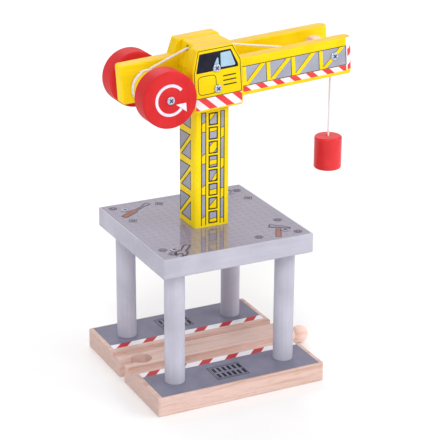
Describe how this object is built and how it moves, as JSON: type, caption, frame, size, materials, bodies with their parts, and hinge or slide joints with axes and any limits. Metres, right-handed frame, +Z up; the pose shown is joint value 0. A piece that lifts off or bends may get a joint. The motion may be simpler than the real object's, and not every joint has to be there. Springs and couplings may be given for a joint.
{
  "type": "toy tower crane",
  "caption": "Wooden toy tower crane on a railway base: posts and platform, square mast, swivelling cab and boom, winding wheels, cord and hanging load.",
  "frame": {"origin": "underside of the base board, on the mast axis", "axes": "+Z up along the mast, +X along the track grooves from the socket end to the peg end, which is where the boom points"},
  "size_m": [0.1564, 0.113, 0.2191],
  "materials": {
    "beech": "clear lacquered beech",
    "grey_paint": "wood under satin light grey paint",
    "yellow_paint": "wood under satin yellow paint",
    "red_paint": "wood under satin red paint",
    "screw_steel": "bright zinc plated steel",
    "washer_nylon": "white nylon",
    "magnet": "nickel plated",
    "cord": "braided white cotton cord"
  },
  "bodies": {
    "base": {"base_board": "beech", "coupling_peg": "beech", "rear_right_post": "grey_paint", "rear_left_post": "grey_paint", "front_right_post": "grey_paint", "front_left_post": "grey_paint", "post_screws": "screw_steel", "platform_board": "grey_paint", "platform_screws": "screw_steel", "mast": "yellow_paint", "mast_screws": "screw_steel", "swivel_pin": "screw_steel", "swivel_washer": "washer_nylon"},
    "head": {"right_side_board": "yellow_paint", "right_cab_block": "yellow_paint", "left_cab_block": "yellow_paint", "left_side_board": "yellow_paint", "right_cab_screws": "screw_steel", "left_cab_screws": "screw_steel", "guide_dowel": "beech", "right_guide_screw": "screw_steel", "left_guide_screw": "screw_steel", "cord_run": "cord"},
    "winder": {"winding_drum": "yellow_paint", "right_winding_wheel": "red_paint", "left_winding_wheel": "red_paint", "wheel_screws": "screw_steel", "cord_windings": "cord"},
    "load": {"load_block": "red_paint", "load_magnet": "magnet", "cord_knot": "cord", "cord_drop": "cord"}
  },
  "joints": [
    {"name": "head_swivel", "type": "hinge", "parent": "base", "child": "head", "pos_m": [0, 0, 0.184], "axis": [0, 0, 1], "continuous": true},
    {"name": "winding", "type": "hinge", "parent": "head", "child": "winder", "pos_m": [-0.03431, 0.00675, 0.19014], "axis": [0, -1, 0], "range_deg": [-650, 215]},
    {"name": "hoist", "type": "slide", "parent": "head", "child": "load", "axis": [0, 0, 1], "range_m": [-0.1209, 0.04], "deforming": ["cord_drop"]}
  ],
  "couplings": [
    {"joint": "hoist", "follows": "winding", "m_per_rad": 0.01065}
  ]
}
